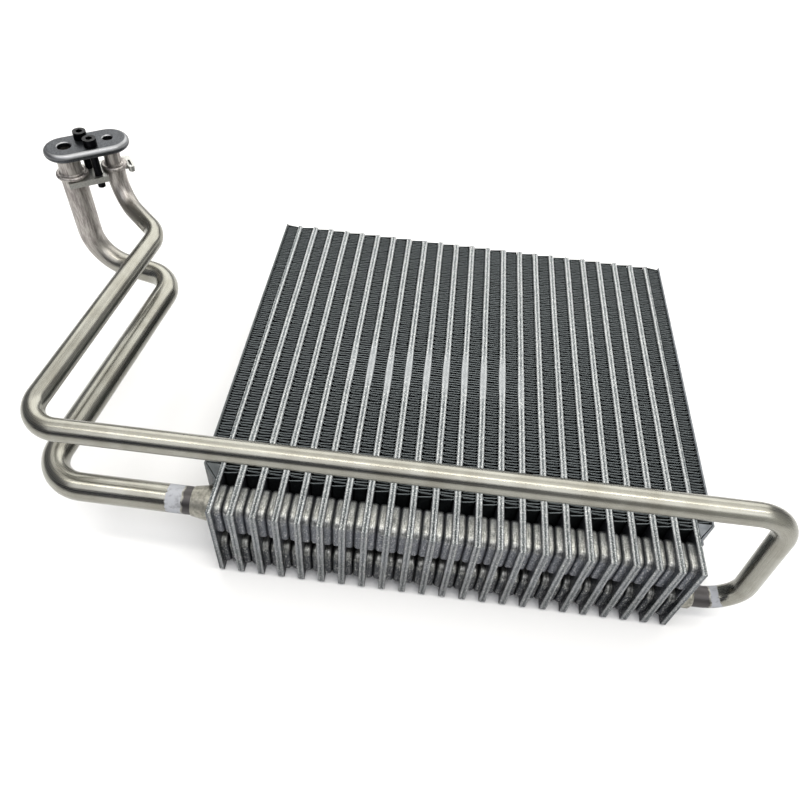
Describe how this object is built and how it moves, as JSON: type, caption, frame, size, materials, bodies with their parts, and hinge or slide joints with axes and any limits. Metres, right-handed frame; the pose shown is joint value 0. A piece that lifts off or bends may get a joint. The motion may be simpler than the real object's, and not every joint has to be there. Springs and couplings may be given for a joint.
{
  "type": "evaporator core",
  "caption": "Laminated-plate evaporator core with corrugated fins, stamped tank cups, two bent pipes and an oblong two-port block.",
  "frame": {"origin": "middle of the core's back face, which it rests on", "axes": "+X across the tubes towards the liquid joint, +Y along the tubes from the tank end to the far end, +Z from the back face out of the front face"},
  "size_m": [0.4623, 0.256, 0.1432],
  "materials": {
    "brazed_sheet": "matt, as brazed",
    "fin_stock": "matt",
    "drawn_tube": "satin, drawn",
    "ferrule": "dull, as brazed",
    "block": "satin",
    "clamp": "satin",
    "seal_rubber": "matt",
    "black_steel": "black oxide"
  },
  "bodies": {
    "root": {"tube_01": "brazed_sheet", "tube_02": "brazed_sheet", "tube_03": "brazed_sheet", "tube_04": "brazed_sheet", "tube_05": "brazed_sheet", "tube_06": "brazed_sheet", "tube_07": "brazed_sheet", "tube_08": "brazed_sheet", "tube_09": "brazed_sheet", "tube_10": "brazed_sheet", "tube_11": "brazed_sheet", "tube_12": "brazed_sheet", "tube_13": "brazed_sheet", "tube_14": "brazed_sheet", "tube_15": "brazed_sheet", "tube_16": "brazed_sheet", "tube_17": "brazed_sheet", "tube_18": "brazed_sheet", "tube_19": "brazed_sheet", "tube_20": "brazed_sheet", "tube_21": "brazed_sheet", "tube_22": "brazed_sheet", "tube_23": "brazed_sheet", "fin_01": "fin_stock", "fin_02": "fin_stock", "fin_03": "fin_stock", "fin_04": "fin_stock", "fin_05": "fin_stock", "fin_06": "fin_stock", "fin_07": "fin_stock", "fin_08": "fin_stock", "fin_09": "fin_stock", "fin_10": "fin_stock", "fin_11": "fin_stock", "fin_12": "fin_stock", "fin_13": "fin_stock", "fin_14": "fin_stock", "fin_15": "fin_stock", "fin_16": "fin_stock", "fin_17": "fin_stock", "fin_18": "fin_stock", "fin_19": "fin_stock", "fin_20": "fin_stock", "fin_21": "fin_stock", "fin_22": "fin_stock", "fin_23": "fin_stock", "fin_24": "fin_stock", "side_plate_left": "brazed_sheet", "side_plate_right": "brazed_sheet", "suction_pipe": "drawn_tube", "liquid_pipe": "drawn_tube", "suction_ferrule": "ferrule", "liquid_ferrule": "ferrule", "port_plate": "block", "port_seals": "seal_rubber", "clamp_plate": "clamp", "clamp_screws": "black_steel"}
  },
  "joints": []
}
